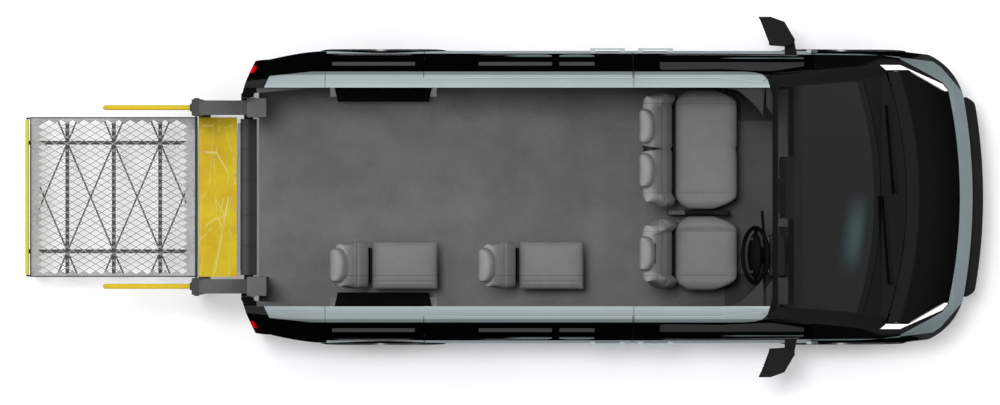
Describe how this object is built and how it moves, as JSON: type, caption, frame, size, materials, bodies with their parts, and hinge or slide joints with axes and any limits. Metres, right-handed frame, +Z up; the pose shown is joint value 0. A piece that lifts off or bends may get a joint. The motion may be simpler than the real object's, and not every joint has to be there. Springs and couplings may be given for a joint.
{
  "type": "wheelchair accessible van",
  "caption": "Passenger van shown without roof skin and tailgate, with two single seats, a front bench and a folding rear platform lift at floor height",
  "frame": {"origin": "on the ground under the middle of the whole object", "axes": "+X points forward, +Y to the vehicle's left, +Z up"},
  "size_m": [6.672, 2.502, 1.8671],
  "materials": {
    "body_paint": "gloss metallic paint",
    "dark_paint": "gloss dark paint",
    "dark_trim": "matt moulded",
    "glass": "tinted",
    "lens": "clear lens",
    "red_lens": "red lens",
    "floor_vinyl": "ribbed vinyl",
    "seat_grey": "soft grey",
    "headrest_grey": "light grey",
    "lift_grey": "satin grey paint",
    "lift_yellow": "scratched yellow paint",
    "mesh_steel": "galvanised",
    "chassis_steel": "satin dark paint",
    "cast_grey": "as cast",
    "tyre": "black",
    "alloy": "satin alloy"
  },
  "bodies": {
    "van": {"floor": "floor_vinyl", "chassis": "chassis_steel", "body_side_left": "body_paint", "body_side_right": "body_paint", "sliding_door_left": "body_paint", "sliding_door_right": "body_paint", "fixed_side_glass": "glass", "front_fenders": "body_paint", "front_bumper": "body_paint", "grille": "dark_trim", "headlamps": "lens", "lamp_housings": "dark_trim", "windscreen_frame": "dark_paint", "windscreen": "glass", "wipers": "dark_trim", "dashboard": "dark_trim", "firewall": "dark_trim", "steering_column": "dark_trim", "seat_cushions": "seat_grey", "seat_backs": "seat_grey", "headrests": "headrest_grey", "seat_bases": "dark_trim", "console": "dark_trim", "wheel_housings": "dark_trim", "rear_bumper": "body_paint", "rear_step": "dark_trim", "tail_lamps": "red_lens", "engine": "cast_grey", "rear_axle": "chassis_steel", "front_suspension": "chassis_steel", "arch_flares": "dark_trim", "lift_towers": "lift_grey"},
    "hood": {"hood": "dark_paint"},
    "front_door_left": {"front_door_left": "body_paint", "door_glass_left": "glass", "mirror_left": "dark_trim"},
    "front_door_right": {"front_door_right": "body_paint", "door_glass_right": "glass", "mirror_right": "dark_trim"},
    "steering_wheel": {"steering_wheel": "dark_trim"},
    "knuckle_left": {"knuckle_left": "cast_grey"},
    "knuckle_right": {"knuckle_right": "cast_grey"},
    "wheel_front_left": {"tyre_front_left": "tyre", "rim_front_left": "alloy"},
    "wheel_front_right": {"tyre_front_right": "tyre", "rim_front_right": "alloy"},
    "wheel_rear_left": {"tyre_rear_left": "tyre", "rim_rear_left": "alloy"},
    "wheel_rear_right": {"tyre_rear_right": "tyre", "rim_rear_right": "alloy"},
    "lift_upper_arms": {"lift_upper_arms": "lift_grey"},
    "lift_lower_arms": {"lift_lower_arms": "lift_grey"},
    "lift_carriage": {"lift_carriage": "lift_grey", "handrails": "lift_yellow"},
    "platform": {"platform_frame": "lift_grey", "platform_mesh": "mesh_steel"},
    "bridge_plate": {"bridge_plate": "lift_yellow"},
    "roll_stop": {"roll_stop": "lift_yellow"}
  },
  "joints": [
    {"name": "steering", "type": "hinge", "parent": "van", "child": "steering_wheel", "pos_m": [1.745, -0.405, 1.105], "axis": [-0.8988, 0, 0.4384], "range_deg": [-525, 525]},
    {"name": "steer_left", "type": "hinge", "parent": "van", "child": "knuckle_left", "pos_m": [2.37, 0.801, 0.355], "axis": [0, 0, 1], "range_deg": [-35, 35]},
    {"name": "steer_right", "type": "hinge", "parent": "van", "child": "knuckle_right", "pos_m": [2.37, -0.801, 0.355], "axis": [0, 0, 1], "range_deg": [-35, 35]},
    {"name": "spin_front_left", "type": "hinge", "parent": "knuckle_left", "child": "wheel_front_left", "pos_m": [2.37, 0.863, 0.355], "axis": [0, 1, 0], "continuous": true},
    {"name": "spin_front_right", "type": "hinge", "parent": "knuckle_right", "child": "wheel_front_right", "pos_m": [2.37, -0.863, 0.355], "axis": [0, 1, 0], "continuous": true},
    {"name": "spin_rear_left", "type": "hinge", "parent": "van", "child": "wheel_rear_left", "pos_m": [-0.841, 0.863, 0.355], "axis": [0, 1, 0], "continuous": true},
    {"name": "spin_rear_right", "type": "hinge", "parent": "van", "child": "wheel_rear_right", "pos_m": [-0.841, -0.863, 0.355], "axis": [0, 1, 0], "continuous": true},
    {"name": "door_left", "type": "hinge", "parent": "van", "child": "front_door_left", "pos_m": [2.145, 1.019, 0.9], "axis": [0, 0, -1], "range_deg": [0, 65]},
    {"name": "door_right", "type": "hinge", "parent": "van", "child": "front_door_right", "pos_m": [2.145, -1.019, 0.9], "axis": [0, 0, 1], "range_deg": [0, 65]},
    {"name": "hood_lift", "type": "hinge", "parent": "van", "child": "hood", "pos_m": [2.65, 0, 1.122], "axis": [0, -1, 0], "range_deg": [0, 50]},
    {"name": "lift", "type": "hinge", "parent": "van", "child": "lift_upper_arms", "pos_m": [-1.745, 0, 1.28], "axis": [0, -1, 0], "range_deg": [0, 65.21]},
    {"name": "lift_lower", "type": "hinge", "parent": "van", "child": "lift_lower_arms", "pos_m": [-1.745, 0, 1.08], "axis": [0, -1, 0], "range_deg": [0, 65.21]},
    {"name": "carriage_level", "type": "hinge", "parent": "lift_upper_arms", "child": "lift_carriage", "pos_m": [-2.128, 0, 1.525], "axis": [0, -1, 0], "range_deg": [-65.21, 0]},
    {"name": "platform_fold", "type": "hinge", "parent": "lift_carriage", "child": "platform", "pos_m": [-2.149, 0, 0.548], "axis": [0, 1, 0], "range_deg": [0, 90]},
    {"name": "bridge_fold", "type": "hinge", "parent": "lift_carriage", "child": "bridge_plate", "pos_m": [-2.122, 0, 0.551], "axis": [0, -1, 0], "range_deg": [0, 90]},
    {"name": "roll_stop_fold", "type": "hinge", "parent": "platform", "child": "roll_stop", "pos_m": [-3.3255, 0, 0.521], "axis": [0, -1, 0], "range_deg": [0, 95]}
  ],
  "couplings": [
    {"joint": "steer_left", "follows": "steering", "ratio": 0.066667},
    {"joint": "steer_right", "follows": "steering", "ratio": 0.066667},
    {"joint": "lift_lower", "follows": "lift", "ratio": 1},
    {"joint": "carriage_level", "follows": "lift", "ratio": -1}
  ]
}
